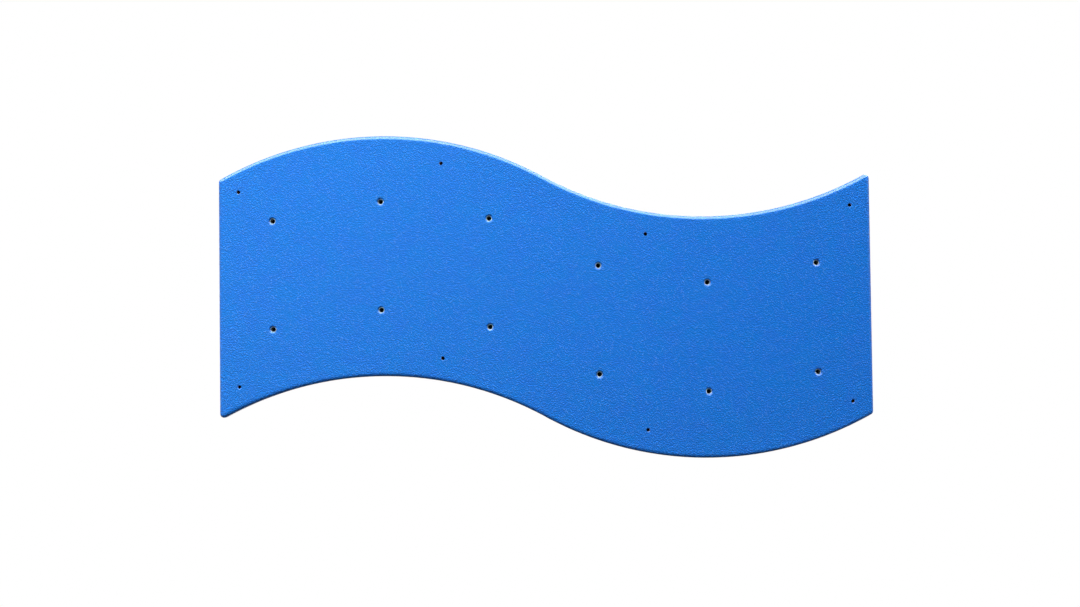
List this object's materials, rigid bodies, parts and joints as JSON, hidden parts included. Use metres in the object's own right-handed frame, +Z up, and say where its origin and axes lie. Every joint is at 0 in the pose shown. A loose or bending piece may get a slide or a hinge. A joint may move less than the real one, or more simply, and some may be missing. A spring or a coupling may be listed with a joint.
{
  "type": "climbing wall panel",
  "caption": "Wave-shaped climbing wall panel of coated plywood with a rounded front edge, a grid of T-nuts for holds and fixing holes along both long edges.",
  "frame": {"origin": "middle of the board's flat back face, where the wave's arch turns into its dip", "axes": "+X to the right as seen from the front, along the panel's length; +Y out of the back, into the wall that holds it, so the front faces -Y; +Z up"},
  "size_m": [1.2192, 0.0191, 0.6096],
  "materials": {
    "coat": "textured blue coat with a fine orange-peel stipple, satin",
    "plywood": "bare birch plywood, sanded, plies showing where it is cut",
    "zinc_tnut": "bright zinc-plated steel",
    "zinc_screw": "bright zinc-plated steel"
  },
  "bodies": {
    "root": {"plywood_board": "plywood", "textured_coat": "coat", "tnut_row1_col1": "zinc_tnut", "tnut_row1_col2": "zinc_tnut", "tnut_row1_col3": "zinc_tnut", "tnut_row1_col4": "zinc_tnut", "tnut_row1_col5": "zinc_tnut", "tnut_row1_col6": "zinc_tnut", "tnut_row2_col1": "zinc_tnut", "tnut_row2_col2": "zinc_tnut", "tnut_row2_col3": "zinc_tnut", "tnut_row2_col4": "zinc_tnut", "tnut_row2_col5": "zinc_tnut", "tnut_row2_col6": "zinc_tnut", "tnut_screw_row1_col1_1": "zinc_screw", "tnut_screw_row1_col1_2": "zinc_screw", "tnut_screw_row1_col1_3": "zinc_screw", "tnut_screw_row1_col2_1": "zinc_screw", "tnut_screw_row1_col2_2": "zinc_screw", "tnut_screw_row1_col2_3": "zinc_screw", "tnut_screw_row1_col3_1": "zinc_screw", "tnut_screw_row1_col3_2": "zinc_screw", "tnut_screw_row1_col3_3": "zinc_screw", "tnut_screw_row1_col4_1": "zinc_screw", "tnut_screw_row1_col4_2": "zinc_screw", "tnut_screw_row1_col4_3": "zinc_screw", "tnut_screw_row1_col5_1": "zinc_screw", "tnut_screw_row1_col5_2": "zinc_screw", "tnut_screw_row1_col5_3": "zinc_screw", "tnut_screw_row1_col6_1": "zinc_screw", "tnut_screw_row1_col6_2": "zinc_screw", "tnut_screw_row1_col6_3": "zinc_screw", "tnut_screw_row2_col1_1": "zinc_screw", "tnut_screw_row2_col1_2": "zinc_screw", "tnut_screw_row2_col1_3": "zinc_screw", "tnut_screw_row2_col2_1": "zinc_screw", "tnut_screw_row2_col2_2": "zinc_screw", "tnut_screw_row2_col2_3": "zinc_screw", "tnut_screw_row2_col3_1": "zinc_screw", "tnut_screw_row2_col3_2": "zinc_screw", "tnut_screw_row2_col3_3": "zinc_screw", "tnut_screw_row2_col4_1": "zinc_screw", "tnut_screw_row2_col4_2": "zinc_screw", "tnut_screw_row2_col4_3": "zinc_screw", "tnut_screw_row2_col5_1": "zinc_screw", "tnut_screw_row2_col5_2": "zinc_screw", "tnut_screw_row2_col5_3": "zinc_screw", "tnut_screw_row2_col6_1": "zinc_screw", "tnut_screw_row2_col6_2": "zinc_screw", "tnut_screw_row2_col6_3": "zinc_screw"}
  },
  "joints": []
}
